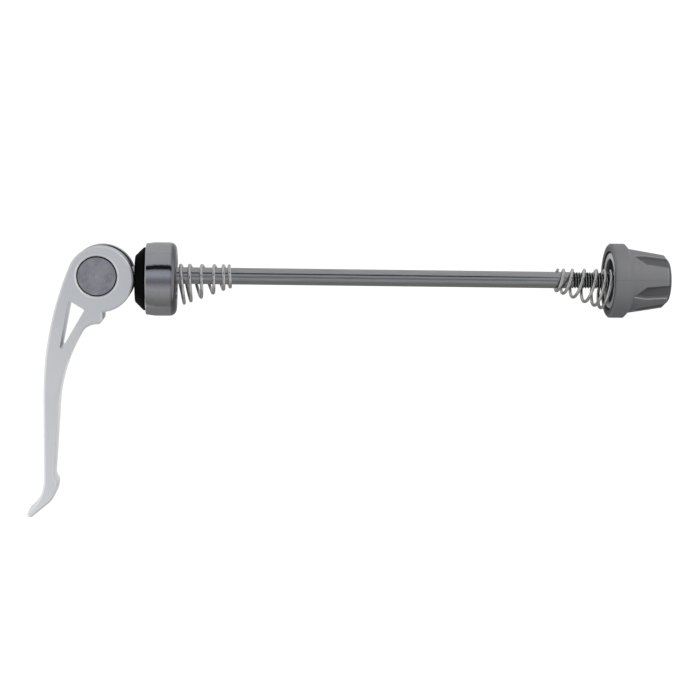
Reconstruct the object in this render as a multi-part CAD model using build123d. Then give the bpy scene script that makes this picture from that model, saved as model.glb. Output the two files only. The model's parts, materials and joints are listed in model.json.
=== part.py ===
from build123d import *
from math import asin, atan, cos, degrees, hypot, pi, radians, sin
import os

# Quick release skewer of a front bicycle hub, lying on a flat surface with its lever closed.
# X runs along the rod from the lever to the nut, Z is up and the lever points to -Y.
# The origin is on the rod's axis, in the plane of the cup's clamping face. Millimetres, degrees.

# Rod, and the cross-drilled barrel that it screws into
rod_diameter = 5.0
rod_past_pivot = 4.0
rod_past_nut_face = 13.0
rod_end_chamfer = 0.6
thread_clearance = 0.05
grip_length = 129.7
barrel_diameter = 11.7
barrel_recess = 0.2
barrel_chamfer = 0.35
barrel_hole_spare = 0.6

# Lever head: two cam ears either side of a fork that clears the rod
head_thickness = 15.0
cam_radius = 9.7
cam_throw = 1.3
cam_angle = -41
pivot_clearance = 0.05
pivot_chamfer = 0.45
fork_side_clearance = 0.5
fork_floor_clearance = 0.6

# Lever arm, in its own plane: outset is to the left of the pivot and reach is below it
arm_thickness = 10.0
taper_after_heel = 0.6
taper_end = 35.0
taper_round = 8.0
arm_outset = 15.8
arm_outer_start = 37.0
arm_foot_width = 3.05
arm_inner_lean = 86.2
rest_bump_reach = 62.8
rest_bump_height = 0.95
rest_bump_length = 3.4
tip_bend_before_bump = 2.0
tip_bend_radius = 12.8
tip_width = 1.9
tip_lean = 40
strut_lean = 58
strut_bend_radius = 5.2
heel_reach = 14.1
heel_outset = 1.7
heel_radius = 1.6
window_outer_outset = 8.2
window_outer_reach = 7.0
window_inner_outset = 3.5
window_inner_reach = 9.9
window_foot_outset = 11.2
window_foot_reach = 23.2
window_corner = 0.4
edge_chamfer = 0.55

# Thrust bush that the cam presses on
cam_gap = 0.15
bush_diameter = 18.7
bush_chamfer = 2.5
bush_shown_length = 3.2
bush_seat_depth = 3.0
bush_seat_clearance = 0.05
slide_clearance = 0.05

# Chromed clamp cup, which hangs on the rod with its bush because their bores are wide
cup_length = 9.1
cup_back_wall = 1.15
cup_taper_rise = 0.35
cup_taper_length = 2.7
cup_front_round = 2.0
cup_land_width = 1.1
cup_recess_depth = 1.1
cup_bore_step = 0.2
cup_hang = 1.1

# Conical springs, the same at both ends of the hub
wire_diameter = 0.95
wire_sides = 6
spring_large_diameter = 12.7
spring_length = 15.7
spring_turns = 5.95
spring_first_angle = 347
spring_end_closing = 0.43
spring_stations_per_turn = 12
spring_rod_gap = 0.12
spring_setback = 0.28

# Nut cap, with a flute either side of each of its wide pads, and its threaded insert
nut_length = 17.8
nut_rim_wall = 2.25
nut_rim_length = 4.3
nut_rim_chamfer = 0.4
nut_shoulder_drop = 1.5
nut_shoulder_length = 1.4
nut_taper_drop = 1.9
nut_end_chamfer = 1.4
nut_end_clearance = 0.7
pad_count = 3
first_pad_angle = 10
flute_from_pad = 35.5
flute_depth = 1.1
flute_draft = 40
flute_after_shoulder = 0.15
flute_point_length = 4.0
flute_point_shift = 1.0
flute_width = 4.4
flute_end_width = 5.2
insert_diameter = 16.7
insert_recess = 0.3
insert_pocket_diameter = 13.2
insert_pocket_depth = 3.0
insert_flange_length = 4.6
insert_hub_diameter = 9.6
insert_length = 12.0
insert_fit = 0.03
insert_groove_width = 0.6
insert_groove_depth = 1.4

# Sizes and places that follow from those above
rod_radius = rod_diameter / 2
barrel_radius = barrel_diameter / 2
pivot_bore_radius = barrel_radius + pivot_clearance
head_half = head_thickness / 2
arm_half = arm_thickness / 2
tip_radius = tip_width / 2
insert_radius = insert_diameter / 2
insert_hub_radius = insert_hub_diameter / 2
nut_radius = insert_radius + insert_groove_width + nut_rim_wall
nut_shoulder_radius = nut_radius - nut_shoulder_drop
nut_end_radius = nut_shoulder_radius - nut_taper_drop
nut_shoulder_x = grip_length + nut_rim_length + nut_shoulder_length
nut_end_x = grip_length + nut_length
bush_radius = bush_diameter / 2
cup_seat_radius = bush_radius + bush_seat_clearance
cup_back_radius = cup_seat_radius + cup_back_wall
cup_radius = cup_back_radius + cup_taper_rise
cup_sink = nut_radius - cup_radius
bush_bore_radius = rod_radius + hypot(cup_hang, cup_sink) + slide_clearance
cup_bore_radius = bush_bore_radius + cup_bore_step
wire_radius = wire_diameter / 2
spring_large_radius = (spring_large_diameter - wire_diameter) / 2
spring_small_radius = rod_radius + spring_rod_gap + wire_radius
bush_face_x = -cup_length - bush_shown_length
bush_end_x = bush_seat_depth - cup_length
cam_centre = Vector(cam_throw * cos(radians(cam_angle)), cam_throw * sin(radians(cam_angle)))
pivot_x = bush_face_x - cam_gap - cam_radius - cam_centre.X
arm_outer_end = rest_bump_reach - tip_bend_before_bump
tip_bend_reach = arm_outer_end + tip_bend_radius * cos(radians(tip_lean))
arm_reach = tip_bend_reach + tip_radius * (1 + cos(radians(tip_lean)))
tip_foot = arm_reach - edge_chamfer
rest_angle = degrees(asin(nut_radius / hypot(tip_foot, arm_half)) - atan(arm_half / tip_foot))
same_place = 0.01


def polar(radius, angle):
    return Vector(radius * cos(radians(angle)), radius * sin(radians(angle)))


def turned(*points):
    """A solid of revolution about X from a closed outline of (x, radius) points."""
    return revolve(make_face(Polyline(*points, close=True)), Axis.X)


def at_pivot(shape):
    """Moves a shape drawn about the pivot, in the lever's plane, to where the lever's tip rests."""
    return Pos(pivot_x, 0, 0) * Rot(X=rest_angle) * shape


def hung(shape):
    """Lets a loose piece hang on the rod and lie on the same surface as the nut."""
    return Pos(0, -cup_hang, -cup_sink) * shape


def make_rod():
    start = pivot_x - rod_past_pivot
    end = grip_length + rod_past_nut_face
    end_radius = rod_radius - rod_end_chamfer
    return turned(
        (start, 0),
        (start, end_radius),
        (start + rod_end_chamfer, rod_radius),
        (end - rod_end_chamfer, rod_radius),
        (end, end_radius),
        (end, 0),
    )


def make_pivot_barrel():
    barrel = Cylinder(barrel_radius, head_thickness - 2 * barrel_recess)
    barrel = chamfer(barrel.edges().filter_by(GeomType.CIRCLE), barrel_chamfer)
    hole_depth = rod_past_pivot + barrel_hole_spare
    from_bottom = (Align.CENTER, Align.CENTER, Align.MIN)
    hole = Cylinder(rod_radius + thread_clearance, hole_depth + barrel_diameter, align=from_bottom)
    return at_pivot(barrel - Pos(-hole_depth, 0, 0) * Rot(Y=90) * hole)


def corner_of(start, start_way, end, end_way):
    """Where a line through start meets a line through end, each in its own direction."""
    share = (end - start).cross(end_way).Z / start_way.cross(end_way).Z
    return start + start_way * share


def outer_edges():
    """The arm's outer side: a long sweep from the cam circle, a straight, and the bend to the tip."""
    across = arm_outset + cam_centre.X
    along = arm_outer_start + cam_centre.Y
    sweep_radius = (across**2 + along**2 - cam_radius**2) / (across - cam_radius) / 2
    sweep_centre = Vector(sweep_radius - arm_outset, -arm_outer_start)
    leave = cam_centre + (cam_centre - sweep_centre).normalized() * cam_radius
    outer_top = Vector(-arm_outset, -arm_outer_start)
    outer_foot = Vector(-arm_outset, -arm_outer_end)
    tip_outer = outer_foot + Vector(-tip_bend_radius, 0) + polar(tip_bend_radius, tip_lean - 90)
    return [
        Line(cam_centre, leave),
        TangentArc(outer_top, leave, tangent=Vector(0, 1)),
        Line(outer_top, outer_foot),
        TangentArc(outer_foot, tip_outer, tangent=Vector(0, -1)),
    ]


def inner_edges(tip_inner):
    """The arm's inner side: the tip's bend, the rest bump, the straight, the inner strut and the heel."""
    tip_way = polar(1, tip_lean)
    inner_way = polar(1, arm_inner_lean)
    strut_way = polar(1, strut_lean)
    bump_foot = Vector(arm_foot_width - arm_outset, rest_bump_length - rest_bump_reach)
    bump_top = Vector(bump_foot.X + rest_bump_height, -rest_bump_reach)
    bump_middle = (bump_top + bump_foot) / 2
    tip_corner = corner_of(bump_top, inner_way, tip_inner, tip_way)
    tip_bend = tip_corner - tip_way * (bump_top - tip_corner).length
    heel_centre = Vector(heel_outset - heel_radius, heel_radius - heel_reach)
    heel_foot = heel_centre + polar(heel_radius, 270)
    strut_bend = heel_foot + Vector(0, -strut_bend_radius) + polar(strut_bend_radius, strut_lean + 90)
    strut_corner = corner_of(bump_foot, inner_way, strut_bend, strut_way)
    inner_top = strut_corner - inner_way * (strut_bend - strut_corner).length
    heel_corner = heel_centre + polar(heel_radius, 315)
    heel_side = heel_centre + polar(heel_radius, 0)
    return [
        Line(tip_inner, tip_bend),
        TangentArc(tip_bend, bump_top, tangent=tip_way),
        TangentArc(bump_top, bump_middle, tangent=inner_way),
        TangentArc(bump_foot, bump_middle, tangent=-inner_way),
        Line(bump_foot, inner_top),
        TangentArc(inner_top, strut_bend, tangent=inner_way),
        TangentArc(strut_bend, heel_foot, tangent=strut_way),
        ThreePointArc(heel_foot, heel_corner, heel_side),
        Line(heel_side, cam_centre),
    ]


def arm_outline():
    """The struts and arm as one closed face, from the cam circle to the curled tip and back."""
    outer = outer_edges()
    tip_outer = outer[-1] @ 1
    tip_centre = tip_outer + polar(tip_radius, tip_lean - 90)
    tip_nose = tip_centre + polar(tip_radius, tip_lean + 180)
    tip_inner = tip_centre + polar(tip_radius, tip_lean - 90)
    tip = ThreePointArc(tip_outer, tip_nose, tip_inner)
    return make_face(outer + [tip] + inner_edges(tip_inner))


def window_outline():
    """The three-cornered window between the struts, with rounded corners."""
    outer_corner = (-window_outer_outset, -window_outer_reach)
    inner_corner = (-window_inner_outset, -window_inner_reach)
    foot = (-window_foot_outset, -window_foot_reach)
    window = make_face(Polyline(outer_corner, inner_corner, foot, close=True))
    return fillet(window.vertices(), window_corner)


def lever_side():
    """The lever seen edge on: a thick head that tapers to a thinner arm below the heel."""
    taper_top = -heel_reach - taper_after_heel
    foot = -arm_reach - tip_width
    half = [(arm_reach, head_half), (taper_top, head_half), (-taper_end, arm_half), (foot, arm_half)]
    other_half = [(reach, -width) for reach, width in reversed(half)]
    side = make_face(Polyline(*half, *other_half, close=True))
    bends = [v for v in side.vertices() if foot < v.X < arm_reach]
    return fillet(bends, taper_round)


def lever_rims(body):
    """The edges round the lever's two broad sides, without the creases across the arm."""
    broad = [f for f in body.faces() if abs(f.normal_at().Z) > abs(f.normal_at().X) + abs(f.normal_at().Y)]
    edges = [e for f in broad for e in f.edges()]
    return [e for e in edges if e.geom_type != GeomType.LINE or abs(e.tangent_at(0).Y) > same_place]


def make_lever():
    far_side = Pos(0, 0, -head_half)
    outline = Pos(cam_centre) * Circle(cam_radius) + arm_outline()
    body = extrude(far_side * outline, head_thickness)
    body = body & extrude(Plane.YZ * lever_side(), arm_reach, both=True)
    body = chamfer(lever_rims(body), edge_chamfer)
    body = body - extrude(far_side * window_outline(), head_thickness)
    body = body - Cylinder(pivot_bore_radius, head_thickness)
    bore_edges = [e for e in body.edges().filter_by(GeomType.CIRCLE) if e.radius == pivot_bore_radius]
    body = chamfer(bore_edges, pivot_chamfer)
    fork_gap = rod_diameter + 2 * fork_side_clearance
    above_floor = (Align.CENTER, Align.MIN, Align.CENTER)
    fork = Box(2 * arm_reach, arm_reach, fork_gap, align=above_floor)
    return at_pivot(body - Pos(0, -rod_radius - fork_floor_clearance, 0) * fork)


def make_thrust_bush():
    bush = turned(
        (bush_face_x, bush_bore_radius),
        (bush_face_x, bush_radius - bush_chamfer),
        (bush_face_x + bush_chamfer, bush_radius),
        (bush_end_x, bush_radius),
        (bush_end_x, bush_bore_radius),
    )
    return hung(bush)


def make_clamp_cup():
    """The cup, with its rounded front edge as two bands."""
    land_radius = cup_radius - cup_front_round
    recess_radius = land_radius - cup_land_width
    half_round = polar(cup_front_round, 45)
    cup = turned(
        (-cup_length, cup_seat_radius),
        (-cup_length, cup_back_radius),
        (-cup_length + cup_taper_length, cup_radius),
        (-cup_front_round, cup_radius),
        (half_round.X - cup_front_round, land_radius + half_round.Y),
        (0, land_radius),
        (0, recess_radius),
        (-cup_recess_depth, recess_radius),
        (-cup_recess_depth, cup_bore_radius),
        (bush_end_x, cup_bore_radius),
        (bush_end_x, cup_seat_radius),
    )
    return hung(cup)


def spring_point(share):
    """A point on the coil's centre line, its share of the wire's turns from the large end."""
    swing = 2 * pi * share
    along = spring_length * (share - spring_end_closing * sin(swing) / (2 * pi))
    radius = spring_large_radius + (spring_small_radius - spring_large_radius) * along / spring_length
    angle = radians(spring_first_angle) - spring_turns * swing
    return Vector(along, radius * cos(angle), radius * sin(angle))


def make_spring():
    """A conical spring that hangs on the rod, so that one side of its cone lies along the rod."""
    count = round(spring_turns * spring_stations_per_turn)
    step = 1 / count
    sections = []
    for i in range(count + 1):
        share = i * step
        point = spring_point(share)
        way = spring_point(share + step) - spring_point(share - step)
        outward = Vector(0, point.Y, point.Z)
        across = Plane(origin=point, x_dir=outward - way * (outward.dot(way) / way.dot(way)), z_dir=way)
        sections.append(across * RegularPolygon(wire_radius, wire_sides))
    coil = loft(sections, ruled=True)
    half_angle = degrees(atan((spring_large_radius - spring_small_radius) / spring_length))
    tilted = Rot(Z=half_angle) * Pos(-spring_length, -spring_small_radius, 0) * coil
    return Pos(spring_length - spring_setback, spring_small_radius, 0) * tilted


def make_lever_spring():
    return make_spring()


def make_nut_spring():
    return Pos(grip_length, 0, 0) * Rot(Y=180) * make_spring()


def flute_cutter():
    """A flute with sloped walls and a pointed start, sunk in the cap's taper and open at its end."""
    slope = nut_taper_drop / (nut_end_x - nut_shoulder_x)
    start_x = nut_shoulder_x + flute_after_shoulder
    start_radius = nut_shoulder_radius - flute_after_shoulder * slope
    inward = Plane(origin=(0, 0, 0), x_dir=(1, 0, 0), z_dir=(0, -1, 0))
    outline = Polyline(
        (0, -flute_point_shift),
        (flute_point_length, flute_width / 2),
        (nut_length, flute_end_width / 2),
        (nut_length, -flute_end_width / 2),
        (flute_point_length, -flute_width / 2),
        close=True,
    )
    cutter = extrude(inward * make_face(outline), flute_depth)
    walls = [f for f in cutter.faces() if abs(f.normal_at().Y) < same_place]
    cutter = draft(walls, inward, flute_draft)
    return Pos(start_x, start_radius, 0) * Rot(Z=-degrees(atan(slope))) * cutter


def make_nut_cap():
    groove_radius = insert_radius + insert_groove_width
    groove_x = grip_length + insert_groove_depth
    flange_x = grip_length + insert_flange_length + insert_fit
    hub_x = grip_length + insert_length + insert_fit
    end_hole_radius = rod_radius + nut_end_clearance
    end_slope = nut_taper_drop / (nut_end_x - nut_shoulder_x)
    cap = turned(
        (grip_length, groove_radius),
        (grip_length, nut_radius - nut_rim_chamfer),
        (grip_length + nut_rim_chamfer, nut_radius),
        (grip_length + nut_rim_length, nut_radius),
        (nut_shoulder_x, nut_shoulder_radius),
        (nut_end_x - nut_end_chamfer, nut_end_radius + nut_end_chamfer * end_slope),
        (nut_end_x, nut_end_radius - nut_end_chamfer),
        (nut_end_x, end_hole_radius),
        (hub_x, end_hole_radius),
        (hub_x, insert_hub_radius + insert_fit),
        (flange_x, insert_hub_radius + insert_fit),
        (flange_x, insert_radius + insert_fit),
        (groove_x, insert_radius + insert_fit),
        (groove_x, groove_radius),
    )
    one_flute = Rot(X=-flute_from_pad) * flute_cutter()
    other_flute = mirror(one_flute, about=Plane.XY)
    for i in range(pad_count):
        to_pad = Rot(X=90 - first_pad_angle + 360 * i / pad_count)
        cap = cap - to_pad * one_flute - to_pad * other_flute
    return cap


def make_nut_insert():
    face_x = grip_length + insert_recess
    pocket_x = grip_length + insert_pocket_depth
    flange_x = grip_length + insert_flange_length
    end_x = grip_length + insert_length
    pocket_radius = insert_pocket_diameter / 2
    thread_radius = rod_radius + thread_clearance
    return turned(
        (face_x, pocket_radius),
        (face_x, insert_radius),
        (flange_x, insert_radius),
        (flange_x, insert_hub_radius),
        (end_x, insert_hub_radius),
        (end_x, thread_radius),
        (pocket_x, thread_radius),
        (pocket_x, pocket_radius),
    )


pieces = {
    "rod": make_rod(),
    "pivot_barrel": make_pivot_barrel(),
    "lever": make_lever(),
    "thrust_bush": make_thrust_bush(),
    "clamp_cup": make_clamp_cup(),
    "lever_spring": make_lever_spring(),
    "nut_spring": make_nut_spring(),
    "nut_cap": make_nut_cap(),
    "nut_insert": make_nut_insert(),
}

os.makedirs("parts", exist_ok=True)
for name, piece in pieces.items():
    export_step(piece.solid(), f"parts/{name}.step")
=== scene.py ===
import json
from math import asin, atan, cos, hypot, pi, radians, sin

import bmesh
import bpy
from mathutils import Matrix, Vector

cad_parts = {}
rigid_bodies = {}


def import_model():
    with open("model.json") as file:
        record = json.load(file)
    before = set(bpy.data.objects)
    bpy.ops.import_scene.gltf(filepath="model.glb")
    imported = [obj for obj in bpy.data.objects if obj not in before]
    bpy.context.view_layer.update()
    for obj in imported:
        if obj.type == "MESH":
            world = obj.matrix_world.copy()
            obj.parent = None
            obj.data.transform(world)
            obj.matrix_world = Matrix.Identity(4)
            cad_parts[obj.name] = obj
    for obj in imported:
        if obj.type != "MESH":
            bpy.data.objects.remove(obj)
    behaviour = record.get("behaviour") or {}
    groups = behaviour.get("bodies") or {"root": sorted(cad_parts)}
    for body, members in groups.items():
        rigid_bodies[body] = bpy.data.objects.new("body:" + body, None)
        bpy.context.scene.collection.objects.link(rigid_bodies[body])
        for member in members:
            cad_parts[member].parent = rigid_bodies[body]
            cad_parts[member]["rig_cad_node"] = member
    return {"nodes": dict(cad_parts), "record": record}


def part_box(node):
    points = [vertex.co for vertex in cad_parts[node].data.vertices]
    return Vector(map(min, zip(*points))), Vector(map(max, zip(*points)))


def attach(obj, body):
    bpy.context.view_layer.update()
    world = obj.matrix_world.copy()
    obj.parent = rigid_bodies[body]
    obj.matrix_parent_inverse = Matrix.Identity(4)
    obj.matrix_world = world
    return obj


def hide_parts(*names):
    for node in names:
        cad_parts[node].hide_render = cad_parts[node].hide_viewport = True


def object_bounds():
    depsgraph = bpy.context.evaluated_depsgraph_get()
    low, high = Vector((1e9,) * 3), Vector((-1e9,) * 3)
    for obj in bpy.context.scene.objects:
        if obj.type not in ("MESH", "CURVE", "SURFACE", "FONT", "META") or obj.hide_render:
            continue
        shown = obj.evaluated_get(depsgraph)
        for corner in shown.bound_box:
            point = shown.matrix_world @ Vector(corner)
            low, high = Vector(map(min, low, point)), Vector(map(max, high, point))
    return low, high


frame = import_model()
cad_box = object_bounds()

# Sizes are in metres, like the frame. X runs along the rod, Z is up and the lever points to -Y.
# A pair of sizes is a span over which a tint or a light fades in, from its start to its full strength.
mm = 0.001
rod_low, rod_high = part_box("rod")
cup_low, cup_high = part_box("clamp_cup")
bush_low, bush_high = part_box("thrust_bush")
cap_low, cap_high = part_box("nut_cap")
insert_face_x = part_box("nut_insert")[0].x
barrel_low, barrel_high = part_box("pivot_barrel")

# Rod and its rolled thread, with painted shade in the grooves
rod_radius = rod_high.z
rod_chamfer = 0.6 * mm
thread_pitch = 0.8 * mm
thread_depth = 0.42 * mm
thread_shown_length = 11.7 * mm
thread_start = cap_low.x - thread_shown_length
thread_run_out = 0.8 * mm
thread_shade_depth = 0.05 * mm
thread_steps_per_pitch = 8
round_steps = 48
# Painted shade in the thread's grooves and in the gap round the barrel's rim
groove_shade_colour = (0.03, 0.03, 0.03)

# Springs, coiled as in the solids
wire_radius = 0.475 * mm
spring_rod_gap = 0.12 * mm
spring_large_radius = 5.875 * mm
spring_small_radius = rod_radius + spring_rod_gap + wire_radius
spring_length = 15.7 * mm
spring_turns = 5.95
spring_first_angle = radians(347)
spring_end_closing = 0.43
spring_setback = 0.28 * mm
spring_stations_per_turn = 40
wire_sides = 12

# Bush and cup, turned about one axis that hangs a little off the rod's
lathe_steps = 160
corner_steps = 4
cup_axis = (cup_low + cup_high) / 2
cup_radius = (cup_high.z - cup_low.z) / 2
cup_back_round = 0.4 * mm
cup_taper_rise = 0.35 * mm
cup_taper_length = 2.7 * mm
cup_taper_round = 0.6 * mm
cup_front_round = 2.0 * mm
cup_land_width = 1.1 * mm
cup_recess_depth = 1.1 * mm
cup_bore_step = 0.2 * mm
# Painted dark reflection on the cup's front round
cup_dark_reflection_length = 0.5 * cup_front_round
cup_dark_reflection_rise = 0.2 * cup_front_round
cup_dark_reflection_colour = (0.2, 0.2, 0.21)
bush_radius = (bush_high.z - bush_low.z) / 2
bush_chamfer = 2.5 * mm
bush_edge_round = 0.6 * mm
bush_seat_clearance = 0.05 * mm
bush_slide_clearance = 0.05 * mm
bush_bore = rod_radius + hypot(cup_axis.y, cup_axis.z) + bush_slide_clearance
bush_specular = 0.02
small_round = 0.2 * mm

# Eased edges, and the angles from which an edge is eased or stays crisp
ease_segments = 3
ease_angle = radians(25)
cap_ease_angle = radians(20)
barrel_ease = 0.12 * mm
lever_ease = 0.3 * mm
cap_ease = 0.25 * mm
insert_ease = 0.15 * mm
weld_distance = 0.002 * mm
flat_angle = radians(0.5)
crisp_angle = radians(40)
turned_crisp_angle = radians(35)
wire_crisp_angle = radians(50)

# Barrel, on the lever's pivot, with the marks of the turning tool on its two ends
pivot = next(joint for joint in frame["record"]["behaviour"]["joints"] if joint["name"] == "lever_pivot")
pivot_place = Vector(pivot["pos_m"])
pivot_lean = asin(pivot["axis"][1])
barrel_radius = (barrel_high.x - barrel_low.x) / 2
barrel_half = ((barrel_high.z - barrel_low.z) / 2 - barrel_radius * abs(sin(pivot_lean))) / cos(pivot_lean)
barrel_rim_width = 0.42 * mm
barrel_rim_fade = 0.3 * barrel_rim_width
tool_mark_width = 0.34 * mm
tool_mark_depth = 0.012 * mm
tool_mark_count = 15
barrel_pip_height = 0.08 * mm
tool_ring_spacing = 2.6 * tool_mark_width
tool_ring_span = (0.0, 2.2)
tool_ring_colour = (0.74, 0.74, 0.77)
worn_patch_size = 4 * mm
worn_patch_span = (0.42, 0.62)
worn_patch_share = 0.45
worn_patch_colour = (0.84, 0.84, 0.86)

# Lever's painted highlight on the bore rim, beyond the barrel, and painted shade in its fork slot and on
# its cam face, from the pivot
bore_rim_outer = 0.7 * mm
bore_rim_inner = 0.5 * mm
bore_rim_highlight_colour = (0.95, 0.955, 0.96)
fork_side_clearance = 0.5 * mm
fork_slot_half = rod_radius + fork_side_clearance
slot_edge_fade = 0.1 * mm
slot_shade_span = (-2 * mm, 5 * mm)
slot_shade_colour = (0.08, 0.08, 0.085)
cam_radius = 9.7 * mm
cam_centre = Vector((0.98, -0.85)) * mm
cam_face_from = 0.25 * mm
cam_face_to = 0.08 * mm
cam_shade_span = (5 * mm, 10 * mm)
cam_shade_colour = (0.16, 0.16, 0.165)

# Nut cap's tapered wall, its flutes by their depth below that wall, and the insert's pocket
cap_rim_length = 5.7 * mm
cap_rim_rise = 1.5 * mm
cap_shoulder_x = cap_low.x + cap_rim_length
cap_shoulder_radius = cap_high.z - cap_rim_rise
cap_taper_drop = 1.9 * mm
cap_shoulder_fade = 0.3 * mm
flute_shade_span = (0.1 * mm, 0.6 * mm)
flute_shade_share = 0.8
flute_shade_colour = (0.06, 0.06, 0.062)
flute_rim_start = (0.03 * mm, 0.08 * mm)
flute_rim_end = (0.3 * mm, 0.2 * mm)
flute_rim_highlight_colour = (0.30, 0.30, 0.31)
parting_line_width = 0.12 * mm
parting_line_share = 0.4
parting_line_colour = (0.05, 0.05, 0.05)
insert_pocket_radius = 6.6 * mm
pocket_edge_outer = 0.3 * mm
pocket_edge_inner = 0.1 * mm
pocket_shade_from = 0.2 * mm
pocket_shade_to = 1.2 * mm
pocket_shade_share = 0.85
pocket_shade_colour = (0.10, 0.105, 0.10)

# Grain of every finish
grain_detail = 4.0
grain_colour_span = (0.3, 0.7)
grain_bump = 0.02

# Camera, fitted to the photograph. Lens and sensor are in millimetres, as Blender takes them.
camera_place = Vector((15.7, -5.2, 508.6)) * mm
camera_yaw = radians(-4.05)
camera_pitch = radians(-1.85)
camera_roll = radians(0.65)
camera_lens = 87.65
camera_sensor = 36
camera_clip_start = 10 * mm

# Floor, white where it is looked at. In reflections it is lighter beyond the rod than before it, and
# lightest round the lever, in a zone that leans away from the cup.
floor_size = 6.0
floor_colour = (0.15, 0.15, 0.15, 1)
floor_roughness = 0.9
floor_lift = 0.95
floor_glossy_near = 0.12
floor_glossy_far = 0.40
floor_glossy_lever = 0.74
floor_far_span = (-5 * mm, 5 * mm)
lever_zone_slant = -0.24
lever_zone_side = (-10 * mm, -20 * mm)
lever_zone_middle_y = -35 * mm
lever_zone_reach = (52 * mm, 38 * mm)

# Studio's light by its angle from straight up, in degrees towards +Y, as (angle, level, blue), and
# the light at both ends of the rod by the share of X in its direction
horizon_angle = 90
sky_bands = [
    (-90, 0.24, 0.0), (-75, 0.27, 0.0), (-58, 0.37, 0.0), (-34, 0.47, 0.03),
    (-22, 0.36, 0.06), (-12, 0.22, 0.1), (-3, 0.26, 0.12), (10, 0.49, 0.12),
    (22, 0.46, 0.12), (27, 0.31, 0.12), (31, 0.015, 0.1), (42, 0.015, 0.1),
    (47, 0.49, 0.08), (60, 0.52, 0.08), (82, 0.54, 0.05), (90, 0.50, 0.05),
]
sky_red_loss = 0.3
end_light_span = (0.5, 0.8)
lever_end_level = 0.72
nut_end_level = 0.85

# Lamps, as (name, place, aim, size, power in watts). The last stands in for the floor's light on
# the lever's underside.
lamp_floor_gap = 0.5 * mm
lamps = [
    ("key", (0.38, 0.5, 0.6), (0.03, -0.02, 0), 0.5, 5),
    ("fill", (-0.12, -0.14, 0.08), (-0.045, -0.055, 0), 0.06, 0.25),
    ("under", (-0.03, -0.018, cad_box[0].z + lamp_floor_gap), (-0.03, -0.018, 0), 0.05, 0.008),
]


def add_mesh(name, vertices, faces):
    mesh = bpy.data.meshes.new(name)
    mesh.from_pydata(vertices, [], faces)
    mesh.validate()
    mesh.update()
    piece = bpy.data.objects.new(name, mesh)
    bpy.context.scene.collection.objects.link(piece)
    return piece


def smooth(piece, angle):
    """Smooth shading, with edges sharper than the angle kept crisp."""
    for face in piece.data.polygons:
        face.use_smooth = True
    piece.data.set_sharp_from_angle(angle=angle)
    return piece


def face_outward(piece):
    """Turns all faces of a closed skin outwards."""
    shell = bmesh.new()
    shell.from_mesh(piece.data)
    bmesh.ops.recalc_face_normals(shell, faces=shell.faces)
    shell.to_mesh(piece.data)
    shell.free()
    return piece


def rounded(corners):
    """A closed outline of (x, radius) points, from corners of (x, radius, rounding)."""
    outline = []
    for i, (x, r, rounding) in enumerate(corners):
        here = Vector((x, r))
        if rounding == 0:
            outline.append(here)
            continue
        before = (Vector(corners[i - 1][:2]) - here).normalized()
        after = (Vector(corners[(i + 1) % len(corners)][:2]) - here).normalized()
        half_angle = before.angle(after) / 2
        tangent = rounding * cos(half_angle) / sin(half_angle)
        first = here + before * tangent
        last = here + after * tangent
        centre = here + (before + after).normalized() * (rounding / sin(half_angle))
        turn = (first - centre).angle_signed(last - centre)
        for k in range(corner_steps + 1):
            part_turn = Matrix.Rotation(-turn * k / corner_steps, 2)
            outline.append(centre + part_turn @ (first - centre))
    return outline


def lathe(name, outline, axis_y, axis_z):
    """A ring turned about a line along X from a closed outline of (x, radius) points."""
    count = len(outline)
    vertices = []
    for i in range(lathe_steps):
        angle = 2 * pi * i / lathe_steps
        for x, r in outline:
            vertices.append((x, axis_y + r * cos(angle), axis_z + r * sin(angle)))
    faces = []
    for i in range(lathe_steps):
        here = i * count
        there = (i + 1) % lathe_steps * count
        for k in range(count):
            after = (k + 1) % count
            faces.append((here + k, here + after, there + after, there + k))
    return smooth(face_outward(add_mesh(name, vertices, faces)), turned_crisp_angle)


def eased_copy(name, node, width, angle):
    """A copy of a CAD node with its edges eased by a small round."""
    piece = frame["nodes"][node].copy()
    piece.data = frame["nodes"][node].data.copy()
    piece.name = name
    for key in [k for k in piece.keys() if k.startswith("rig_")]:
        del piece[key]
    piece.parent = None
    bpy.context.scene.collection.objects.link(piece)
    shell = bmesh.new()
    shell.from_mesh(piece.data)
    bmesh.ops.remove_doubles(shell, verts=shell.verts, dist=weld_distance)
    bmesh.ops.dissolve_limit(shell, angle_limit=flat_angle, verts=shell.verts, edges=shell.edges)
    shell.to_mesh(piece.data)
    shell.free()
    ease = piece.modifiers.new("ease", "BEVEL")
    ease.width = width
    ease.segments = ease_segments
    ease.limit_method = "ANGLE"
    ease.angle_limit = angle
    ease.miter_outer = "MITER_ARC"
    ease.harden_normals = True
    return smooth(piece, crisp_angle)


def spring_point(share):
    """A point on the coil's centre line, its share of the wire's turns from the large end."""
    swing = 2 * pi * share
    along = spring_length * (share - spring_end_closing * sin(swing) / (2 * pi))
    radius = spring_large_radius + (spring_small_radius - spring_large_radius) * along / spring_length
    angle = spring_first_angle - spring_turns * swing
    return Vector((along, radius * cos(angle), radius * sin(angle)))


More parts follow.
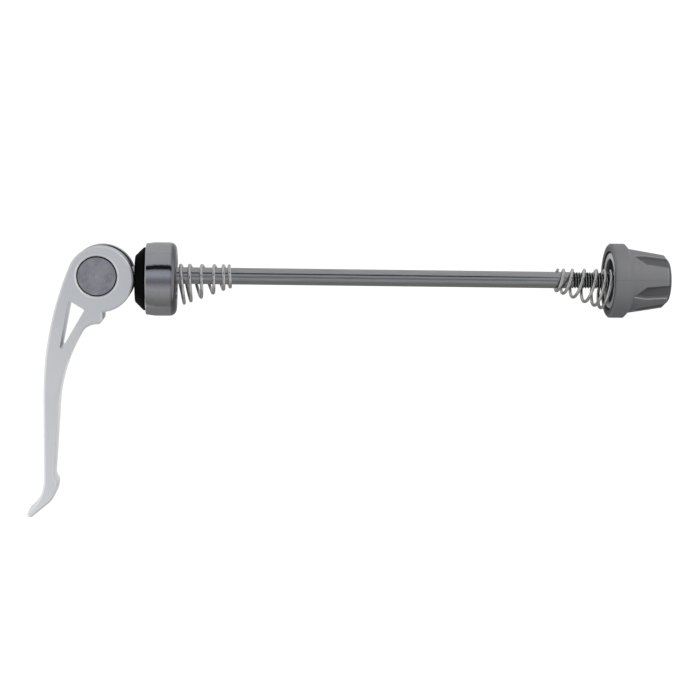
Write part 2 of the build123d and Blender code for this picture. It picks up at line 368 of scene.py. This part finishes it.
def coil(name):
    """A round wire along the coil, hung on the rod so that one side of its cone lies along the rod."""
    count = round(spring_turns * spring_stations_per_turn)
    step = 1 / count
    half_angle = atan((spring_large_radius - spring_small_radius) / spring_length)
    foot = Vector((spring_length, spring_small_radius, 0))
    seat = Vector((spring_length - spring_setback, spring_small_radius, 0))
    hang = Matrix.Rotation(half_angle, 3, "Z")
    vertices = []
    for i in range(count + 1):
        point = spring_point(i * step)
        way = (spring_point((i + 1) * step) - spring_point((i - 1) * step)).normalized()
        outward = Vector((0, point.y, point.z))
        outward = (outward - way * outward.dot(way)).normalized()
        side = way.cross(outward)
        for k in range(wire_sides):
            angle = 2 * pi * k / wire_sides
            rim = point + (outward * cos(angle) + side * sin(angle)) * wire_radius
            vertices.append(seat + hang @ (rim - foot))
    faces = []
    for i in range(count):
        for k in range(wire_sides):
            here = i * wire_sides
            after = (k + 1) % wire_sides
            faces.append((here + k, here + after, here + wire_sides + after, here + wire_sides + k))
    faces.append(tuple(reversed(range(wire_sides))))
    faces.append(tuple(range(count * wire_sides, (count + 1) * wire_sides)))
    return smooth(add_mesh(name, vertices, faces), wire_crisp_angle)


def thread_radius(x, angle):
    """The rod's radius where the thread has run in, with rounded crests and roots."""
    run_in = min(max((x - thread_start) / thread_run_out, 0), 1)
    wave = 0.5 - 0.5 * cos(2 * pi * x / thread_pitch - angle)
    return rod_radius - thread_depth * run_in * wave


def threaded_rod():
    """The rod as one skin, with a helical thread towards the nut's end."""
    stations = [(rod_low.x, rod_chamfer), (rod_low.x + rod_chamfer, 0), (thread_start, 0)]
    count = round((rod_high.x - rod_chamfer - thread_start) / thread_pitch * thread_steps_per_pitch)
    for i in range(1, count + 1):
        stations.append((thread_start + i * thread_pitch / thread_steps_per_pitch, 0))
    stations.append((rod_high.x, rod_chamfer))
    vertices = []
    for x, drop in stations:
        for k in range(round_steps):
            angle = 2 * pi * k / round_steps
            radius = min(thread_radius(x, angle), rod_radius - drop)
            vertices.append((x, radius * cos(angle), radius * sin(angle)))
    faces = [tuple(range(round_steps))]
    for i in range(len(stations) - 1):
        for k in range(round_steps):
            here = i * round_steps
            after = (k + 1) % round_steps
            faces.append((here + k, here + round_steps + k, here + round_steps + after, here + after))
    faces.append(tuple(reversed(range((len(stations) - 1) * round_steps, len(stations) * round_steps))))
    return smooth(face_outward(add_mesh("threaded_rod", vertices, faces)), crisp_angle)


def make_cup():
    seat_radius = bush_radius + bush_seat_clearance
    recess_radius = cup_radius - cup_front_round - cup_land_width
    recess_x = cup_high.x - cup_recess_depth
    bore = bush_bore + cup_bore_step
    corners = [
        (cup_low.x, seat_radius, small_round),
        (cup_low.x, cup_radius - cup_taper_rise, cup_back_round),
        (cup_low.x + cup_taper_length, cup_radius, cup_taper_round),
        (cup_high.x, cup_radius, cup_front_round),
        (cup_high.x, recess_radius, small_round),
        (recess_x, recess_radius, small_round),
        (recess_x, bore, small_round),
        (bush_high.x, bore, 0),
        (bush_high.x, seat_radius, 0),
    ]
    return lathe("chromed_cup", rounded(corners), cup_axis.y, cup_axis.z)


def make_bush():
    corners = [
        (bush_low.x, bush_bore, small_round),
        (bush_low.x, bush_radius - bush_chamfer, bush_edge_round),
        (bush_low.x + bush_chamfer, bush_radius, bush_edge_round),
        (bush_high.x, bush_radius, 0),
        (bush_high.x, bush_bore, 0),
    ]
    return lathe("black_thrust_bush", rounded(corners), cup_axis.y, cup_axis.z)


def mark_ends(piece):
    """Cuts the rings of a turning tool, and the pip at the middle, into the barrel's two flat ends."""
    shell = bmesh.new()
    shell.from_mesh(piece.data)
    shell.faces.ensure_lookup_table()
    ends = sorted(shell.faces, key=lambda face: abs(face.normal.z) * face.calc_area())[-2:]
    for i in range(tool_mark_count):
        depth = -tool_mark_depth if i % 2 else tool_mark_depth
        bmesh.ops.inset_individual(shell, faces=ends, thickness=tool_mark_width, depth=depth)
    bmesh.ops.inset_individual(shell, faces=ends, thickness=tool_mark_width / 2, depth=barrel_pip_height)
    shell.to_mesh(piece.data)
    shell.free()
    return smooth(piece, crisp_angle)


def new_material(name):
    """A material with nodes, and its shader."""
    material = bpy.data.materials.new(name)
    material.use_nodes = True
    return material, material.node_tree.nodes["Principled BSDF"]


def surface(name, dark, light, rough_low, rough_high, metallic, grain, stretch=(1, 1, 1)):
    """A finish with a grain in its colour, roughness and height. Grain is the size of a fleck in metres."""
    material, shader = new_material(name)
    nodes, links = material.node_tree.nodes, material.node_tree.links
    place = nodes.new("ShaderNodeTexCoord")
    squeeze = nodes.new("ShaderNodeMapping")
    squeeze.inputs["Scale"].default_value = stretch
    noise = nodes.new("ShaderNodeTexNoise")
    noise.inputs["Scale"].default_value = 1 / grain
    noise.inputs["Detail"].default_value = grain_detail
    colours = nodes.new("ShaderNodeValToRGB")
    for element, position, colour in zip(colours.color_ramp.elements, grain_colour_span, (dark, light)):
        element.position = position
        element.color = (*colour, 1)
    roughness = nodes.new("ShaderNodeMapRange")
    roughness.inputs["To Min"].default_value = rough_low
    roughness.inputs["To Max"].default_value = rough_high
    height = nodes.new("ShaderNodeBump")
    height.inputs["Strength"].default_value = grain_bump
    height.inputs["Distance"].default_value = grain
    links.new(place.outputs["Object"], squeeze.inputs["Vector"])
    links.new(squeeze.outputs["Vector"], noise.inputs["Vector"])
    links.new(noise.outputs["Fac"], colours.inputs["Fac"])
    links.new(noise.outputs["Fac"], roughness.inputs["Value"])
    links.new(noise.outputs["Fac"], height.inputs["Height"])
    links.new(colours.outputs["Color"], shader.inputs["Base Color"])
    links.new(roughness.outputs["Result"], shader.inputs["Roughness"])
    links.new(height.outputs["Normal"], shader.inputs["Normal"])
    shader.inputs["Metallic"].default_value = metallic
    return material


def calc(tree, operation, *values):
    """One step of arithmetic in a node tree, on numbers and sockets."""
    node = tree.nodes.new("ShaderNodeMath")
    node.operation = operation
    for socket, value in zip(node.inputs, values):
        if isinstance(value, (int, float)):
            socket.default_value = value
        else:
            tree.links.new(value, socket)
    return node.outputs["Value"]


def step_up(tree, value, low, high, start=0.0, end=1.0, kind="SMOOTHSTEP"):
    """Goes from start to end as the value goes from low to high."""
    node = tree.nodes.new("ShaderNodeMapRange")
    node.interpolation_type = kind
    node.inputs["From Min"].default_value = low
    node.inputs["From Max"].default_value = high
    node.inputs["To Min"].default_value = start
    node.inputs["To Max"].default_value = end
    tree.links.new(value, node.inputs["Value"])
    return node.outputs["Result"]


def split(tree, vector):
    """The X, Y and Z of a vector."""
    parts = tree.nodes.new("ShaderNodeSeparateXYZ")
    tree.links.new(vector, parts.inputs["Vector"])
    return parts.outputs["X"], parts.outputs["Y"], parts.outputs["Z"]


def place_in(tree, origin=(0, 0, 0), lean=0.0):
    """The X, Y and Z of a point on the surface, from an origin and in axes that lean about X."""
    place = tree.nodes.new("ShaderNodeTexCoord")
    axes = tree.nodes.new("ShaderNodeMapping")
    axes.vector_type = "TEXTURE"
    axes.inputs["Location"].default_value = origin
    axes.inputs["Rotation"].default_value = (lean, 0, 0)
    tree.links.new(place.outputs["Object"], axes.inputs["Vector"])
    return split(tree, axes.outputs["Vector"])


def radius_of(tree, a, b):
    return calc(tree, "SQRT", calc(tree, "MULTIPLY_ADD", a, a, calc(tree, "MULTIPLY", b, b)))


def tint(tree, share, colour):
    """Blends a colour over the finish by a share that varies over the surface."""
    target = tree.nodes["Principled BSDF"].inputs["Base Color"]
    under = target.links[0].from_socket
    blend = tree.nodes.new("ShaderNodeMixRGB")
    blend.inputs["Color2"].default_value = (*colour, 1)
    tree.links.new(share, blend.inputs["Fac"])
    tree.links.new(under, blend.inputs["Color1"])
    tree.links.new(blend.outputs["Color"], target)


def tint_rod(tree):
    """Painted shade in the grooves of the thread."""
    x, y, z = place_in(tree)
    groove = step_up(tree, radius_of(tree, y, z), rod_radius - thread_shade_depth, rod_radius - thread_depth)
    tint(tree, groove, groove_shade_colour)


def tint_barrel(tree):
    """Worn patches, rings left by the turning tool, and painted shade in the gap round the barrel's rim."""
    place = tree.nodes.new("ShaderNodeTexCoord")
    patches = tree.nodes.new("ShaderNodeTexNoise")
    patches.inputs["Scale"].default_value = 1 / worn_patch_size
    tree.links.new(place.outputs["Object"], patches.inputs["Vector"])
    worn = step_up(tree, patches.outputs["Fac"], *worn_patch_span)
    tint(tree, calc(tree, "MULTIPLY", worn, worn_patch_share), worn_patch_colour)
    x, y, z = place_in(tree, pivot_place, pivot_lean)
    radius = radius_of(tree, x, y)
    ring = calc(tree, "SINE", calc(tree, "MULTIPLY", radius, 2 * pi / tool_ring_spacing))
    tint(tree, step_up(tree, ring, *tool_ring_span), tool_ring_colour)
    # Painted shade in the gap round the barrel's rim
    rim_start = barrel_radius - barrel_rim_width
    rim = step_up(tree, radius, rim_start, rim_start + barrel_rim_fade)
    end_start = barrel_half - 2 * barrel_rim_width
    near_end = step_up(tree, calc(tree, "ABSOLUTE", z), end_start, end_start + barrel_rim_width)
    tint(tree, calc(tree, "MULTIPLY", rim, near_end), groove_shade_colour)


def tint_lever(tree):
    """A painted highlight on the chamfer round the pivot bore, painted shade in the fork slot, and painted
    dark reflection and shade on the cam's face towards the bush.
    """
    x, y, z = place_in(tree, pivot_place, pivot_lean)
    from_pivot = radius_of(tree, x, y)
    # Painted highlight on the chamfer round the bore
    in_rim = step_up(tree, from_pivot, barrel_radius + bore_rim_outer, barrel_radius + bore_rim_inner)
    tint(tree, in_rim, bore_rim_highlight_colour)
    # Painted shade in the fork slot
    in_slot = step_up(tree, calc(tree, "ABSOLUTE", z), fork_slot_half + slot_edge_fade, fork_slot_half)
    slot_shade_mask = step_up(tree, x, *slot_shade_span)
    tint(tree, calc(tree, "MULTIPLY", in_slot, slot_shade_mask), slot_shade_colour)
    # Painted dark reflection and shade on the cam face towards the bush
    from_cam = radius_of(
        tree, calc(tree, "SUBTRACT", x, cam_centre.x), calc(tree, "SUBTRACT", y, cam_centre.y)
    )
    on_cam = step_up(tree, from_cam, cam_radius - cam_face_from, cam_radius - cam_face_to)
    cam_shade_mask = step_up(tree, x, *cam_shade_span)
    tint(tree, calc(tree, "MULTIPLY", on_cam, cam_shade_mask), cam_shade_colour)


def tint_cup(tree):
    """A painted dark reflection on the round at the cup's front edge."""
    x, y, z = place_in(tree, (0, cup_axis.y, cup_axis.z))
    round_x = cup_high.x - cup_front_round
    land_radius = cup_radius - cup_front_round
    front = step_up(tree, x, round_x, round_x + cup_dark_reflection_length)
    past_land = step_up(tree, radius_of(tree, y, z), land_radius, land_radius + cup_dark_reflection_rise)
    tint(tree, calc(tree, "MULTIPLY", front, past_land), cup_dark_reflection_colour)


def tint_cap(tree):
    """Painted shade in the flutes with painted highlights on their rims, and the faint line where the two
    halves of the mould met.
    """
    x, y, z = place_in(tree)
    along = calc(tree, "DIVIDE", calc(tree, "SUBTRACT", x, cap_shoulder_x), cap_high.x - cap_shoulder_x)
    wall = calc(tree, "SUBTRACT", cap_shoulder_radius, calc(tree, "MULTIPLY", along, cap_taper_drop))
    depth = calc(tree, "SUBTRACT", wall, radius_of(tree, y, z))
    flutes = calc(tree, "MULTIPLY", step_up(tree, depth, *flute_shade_span), flute_shade_share)
    tint(tree, flutes, flute_shade_colour)
    # Painted highlight along the flutes' rims
    below_edge = step_up(tree, depth, *flute_rim_start)
    rim = calc(tree, "MULTIPLY", below_edge, step_up(tree, depth, *flute_rim_end))
    past_shoulder = step_up(tree, x, cap_shoulder_x, cap_shoulder_x + cap_shoulder_fade)
    tint(tree, calc(tree, "MULTIPLY", rim, past_shoulder), flute_rim_highlight_colour)
    on_line = step_up(tree, calc(tree, "ABSOLUTE", y), 0.0, parting_line_width, parting_line_share, 0.0)
    tint(tree, on_line, parting_line_colour)


def tint_insert(tree):
    """Painted shade deep in the pocket that the spring sits in."""
    x, y, z = place_in(tree)
    edge_from = insert_pocket_radius + pocket_edge_outer
    edge_to = insert_pocket_radius + pocket_edge_inner
    inside = step_up(tree, radius_of(tree, y, z), edge_from, edge_to)
    deep_from = insert_face_x + pocket_shade_from
    deep_to = insert_face_x + pocket_shade_to
    deep = step_up(tree, x, deep_from, deep_to, 0.0, pocket_shade_share)
    tint(tree, calc(tree, "MULTIPLY", inside, deep), pocket_shade_colour)


# Finishes, as name, dark and light colour, lowest and highest roughness, metallic, grain and stretch
finishes = {
    "rod": surface(
        "bright_rod", (0.44, 0.44, 0.44), (0.52, 0.52, 0.52), 0.12, 0.2, 1, 0.4 * mm, (0.05, 1, 1)
    ),
    "barrel": surface("turned_barrel", (0.50, 0.50, 0.53), (0.64, 0.64, 0.67), 0.3, 0.42, 1, 1.2 * mm),
    "lever": surface(
        "silver_lever", (0.73, 0.745, 0.755), (0.78, 0.795, 0.805), 0.36, 0.44, 0.65, 0.25 * mm
    ),
    "bush": surface("black_bush", (0.002, 0.002, 0.002), (0.004, 0.004, 0.004), 0.5, 0.65, 0, 0.3 * mm),
    "cup": surface("chrome_cup", (0.49, 0.49, 0.50), (0.54, 0.54, 0.55), 0.05, 0.10, 1, 0.6 * mm),
    "spring": surface("spring_wire", (0.68, 0.67, 0.65), (0.80, 0.79, 0.77), 0.2, 0.3, 1, 0.2 * mm),
    "cap": surface("grey_cap", (0.156, 0.156, 0.161), (0.193, 0.193, 0.198), 0.36, 0.48, 0, 0.2 * mm),
    "insert": surface("zinc_insert", (0.68, 0.72, 0.70), (0.80, 0.83, 0.81), 0.25, 0.45, 0.5, 0.3 * mm),
}
bush_shader = finishes["bush"].node_tree.nodes["Principled BSDF"]
bush_shader.inputs["Specular IOR Level"].default_value = bush_specular
tint_rod(finishes["rod"].node_tree)
tint_barrel(finishes["barrel"].node_tree)
tint_lever(finishes["lever"].node_tree)
tint_cup(finishes["cup"].node_tree)
tint_cap(finishes["cap"].node_tree)
tint_insert(finishes["insert"].node_tree)


def dress(piece, slot):
    piece.data.materials.clear()
    piece.data.materials.append(finishes[slot])


# Pieces, each with the CAD node that it stands for, its body and its slot
barrel = mark_ends(eased_copy("turned_barrel", "pivot_barrel", barrel_ease, ease_angle))
nut_spring = coil("nut_side_spring")
nut_spring.data.transform(Matrix.Translation((cap_low.x, 0, 0)) @ Matrix.Rotation(pi, 4, "Y"))
pieces = [
    (threaded_rod(), "rod", "skewer", "rod"),
    (barrel, "pivot_barrel", "skewer", "barrel"),
    (eased_copy("silver_lever", "lever", lever_ease, ease_angle), "lever", "lever", "lever"),
    (make_bush(), "thrust_bush", "clamp", "bush"),
    (make_cup(), "clamp_cup", "clamp", "cup"),
    (coil("lever_side_spring"), "lever_spring", "clamp", "spring"),
    (nut_spring, "nut_spring", "nut_slider", "spring"),
    (eased_copy("fluted_cap", "nut_cap", cap_ease, cap_ease_angle), "nut_cap", "nut", "cap"),
    (eased_copy("threaded_insert", "nut_insert", insert_ease, ease_angle), "nut_insert", "nut", "insert"),
]
for piece, node, body, slot in pieces:
    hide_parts(node)
    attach(piece, body)
    dress(piece, slot)
for subpart in frame["record"]["subparts"]:
    dress(frame["nodes"][subpart["node"]], subpart["material_slot"])


def make_floor():
    """A plain floor, lifted to white where it is looked at, that still takes the object's shadow."""
    half = floor_size / 2
    height = cad_box[0].z
    corners = [(-half, -half, height), (half, -half, height), (half, half, height), (-half, half, height)]
    floor = add_mesh("floor", corners, [(0, 1, 2, 3)])
    material, shader = new_material("white_floor")
    shader.inputs["Base Color"].default_value = floor_colour
    shader.inputs["Roughness"].default_value = floor_roughness
    shader.inputs["Specular IOR Level"].default_value = 0.0
    shader.inputs["Emission Color"].default_value = (1, 1, 1, 1)
    tree = material.node_tree
    x, y, z = place_in(tree)
    glossy = step_up(tree, y, *floor_far_span, floor_glossy_near, floor_glossy_far)
    beside = step_up(tree, calc(tree, "MULTIPLY_ADD", y, lever_zone_slant, x), *lever_zone_side)
    from_middle = calc(tree, "ABSOLUTE", calc(tree, "SUBTRACT", y, lever_zone_middle_y))
    by_lever = calc(tree, "MULTIPLY", beside, step_up(tree, from_middle, *lever_zone_reach))
    more = calc(tree, "SUBTRACT", floor_glossy_lever, glossy)
    glossy = calc(tree, "MULTIPLY_ADD", by_lever, more, glossy)
    rays = tree.nodes.new("ShaderNodeLightPath").outputs
    lift = calc(tree, "MULTIPLY", rays["Is Camera Ray"], floor_lift)
    lift = calc(tree, "MULTIPLY_ADD", rays["Is Transmission Ray"], floor_lift, lift)
    lift = calc(tree, "MULTIPLY_ADD", rays["Is Glossy Ray"], glossy, lift)
    tree.links.new(lift, shader.inputs["Emission Strength"])
    floor.data.materials.append(material)


def make_world():
    """A soft studio: bands of light across the rod, and brighter light at both of its ends."""
    world = bpy.data.worlds.new("studio")
    bpy.context.scene.world = world
    world.use_nodes = True
    tree = world.node_tree
    ramp = tree.nodes.new("ShaderNodeValToRGB")
    elements = ramp.color_ramp.elements
    while len(elements) < len(sky_bands):
        elements.new(0.5)
    for element, (angle, level, blue) in zip(elements, sky_bands):
        element.position = (angle + horizon_angle) / (2 * horizon_angle)
        element.color = (level * (1 - sky_red_loss * blue), level, level * (1 + blue), 1)
    place = tree.nodes.new("ShaderNodeTexCoord")
    x, y, z = split(tree, place.outputs["Generated"])
    lean = calc(tree, "ARCTAN2", y, z)
    band = step_up(tree, lean, -radians(horizon_angle), radians(horizon_angle), kind="LINEAR")
    tree.links.new(band, ramp.inputs["Fac"])
    blend = tree.nodes.new("ShaderNodeMixRGB")
    tree.links.new(step_up(tree, calc(tree, "ABSOLUTE", x), *end_light_span), blend.inputs["Fac"])
    tree.links.new(ramp.outputs["Color"], blend.inputs["Color1"])
    end_light = step_up(tree, x, -1, 1, lever_end_level, nut_end_level, kind="LINEAR")
    tree.links.new(end_light, blend.inputs["Color2"])
    tree.links.new(blend.outputs["Color"], tree.nodes["Background"].inputs["Color"])


def make_lamp(name, place, aim, size, power):
    lamp = bpy.data.lights.new(name, "AREA")
    lamp.size = size
    lamp.energy = power
    holder = bpy.data.objects.new(name, lamp)
    holder.location = place
    holder.rotation_mode = "QUATERNION"
    holder.rotation_quaternion = (Vector(aim) - Vector(place)).to_track_quat("-Z", "Y")
    holder.visible_glossy = False
    holder.visible_camera = False
    bpy.context.scene.collection.objects.link(holder)


def make_camera():
    camera = bpy.data.cameras.new("camera")
    camera.lens = camera_lens
    camera.sensor_width = camera_sensor
    camera.clip_start = camera_clip_start
    holder = bpy.data.objects.new("camera", camera)
    turn = Matrix.Rotation(camera_yaw, 4, "Y") @ Matrix.Rotation(camera_pitch, 4, "X")
    holder.matrix_world = Matrix.Translation(camera_place) @ turn @ Matrix.Rotation(camera_roll, 4, "Z")
    bpy.context.scene.collection.objects.link(holder)
    bpy.context.scene.camera = holder


make_floor()
make_world()
for lamp in lamps:
    make_lamp(*lamp)
make_camera()
bpy.context.scene.view_settings.view_transform = "Standard"
